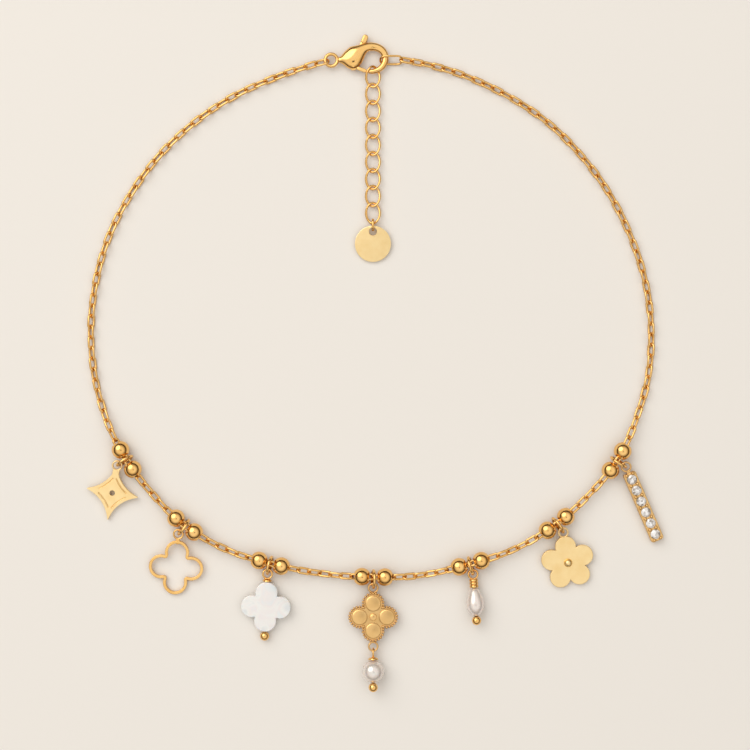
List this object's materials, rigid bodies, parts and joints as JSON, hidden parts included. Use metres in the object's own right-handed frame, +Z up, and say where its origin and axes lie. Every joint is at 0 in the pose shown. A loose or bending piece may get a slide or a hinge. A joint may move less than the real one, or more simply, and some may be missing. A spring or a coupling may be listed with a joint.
{
  "type": "charm necklace",
  "caption": "Fine gold chain necklace laid flat, with small charms and pearls hung between pairs of beads, a lobster clasp and a short extender chain with a round tag.",
  "frame": {"origin": "middle of the overall bounding box in plan, on the surface that the necklace lies on", "axes": "+Z up from the surface, +Y from the lowest charm towards the clasp, +X to the right in the picture"},
  "size_m": [0.1352, 0.1538, 0.0052],
  "materials": {
    "gold": "polished gold plate",
    "satin_gold": "satin gold plate",
    "mother_of_pearl": "polished shell",
    "pearl": "lustrous pearl",
    "crystal": "cut and polished stone"
  },
  "bodies": {
    "necklace": {"clasp_body": "gold", "extender_link_1": "gold", "extender_link_2": "gold", "extender_link_3": "gold", "extender_link_4": "gold", "extender_link_5": "gold", "extender_link_6": "gold", "extender_link_7": "gold", "extender_link_8": "gold", "extender_link_9": "gold", "tag_ring": "gold", "tag_disc": "satin_gold", "chain_left": "gold", "chain_right": "gold", "end_link_left": "gold", "end_link_right": "gold", "bead_1_left": "gold", "bead_1_right": "gold", "jump_ring_1": "gold", "star_charm": "satin_gold", "bead_2_left": "gold", "bead_2_right": "gold", "jump_ring_2": "gold", "open_quatrefoil_charm": "gold", "bead_3_left": "gold", "bead_3_right": "gold", "jump_ring_3": "gold", "shell_quatrefoil": "mother_of_pearl", "shell_pin": "gold", "bead_4_left": "gold", "bead_4_right": "gold", "jump_ring_4": "gold", "rosette_charm": "satin_gold", "rosette_pearl": "pearl", "rosette_pearl_pin": "gold", "bead_5_left": "gold", "bead_5_right": "gold", "jump_ring_5": "gold", "drop_pearl": "pearl", "drop_pearl_pin": "gold", "bead_6_left": "gold", "bead_6_right": "gold", "jump_ring_6": "gold", "blossom_charm": "satin_gold", "bead_7_left": "gold", "bead_7_right": "gold", "jump_ring_7": "gold", "stone_bar": "gold", "bar_stone_1": "crystal", "bar_stone_2": "crystal", "bar_stone_3": "crystal", "bar_stone_4": "crystal", "bar_stone_5": "crystal", "bar_stone_6": "crystal"},
    "lever": {"clasp_lever": "gold"}
  },
  "joints": [
    {"name": "clasp_lever_hinge", "type": "hinge", "parent": "necklace", "child": "lever", "pos_m": [-0.0052, 0.06967, 0.00135], "axis": [0, 0, 1], "range_deg": [0, 20], "stiffness_Nm_per_rad": 0.0002, "springref_deg": -11.46}
  ]
}
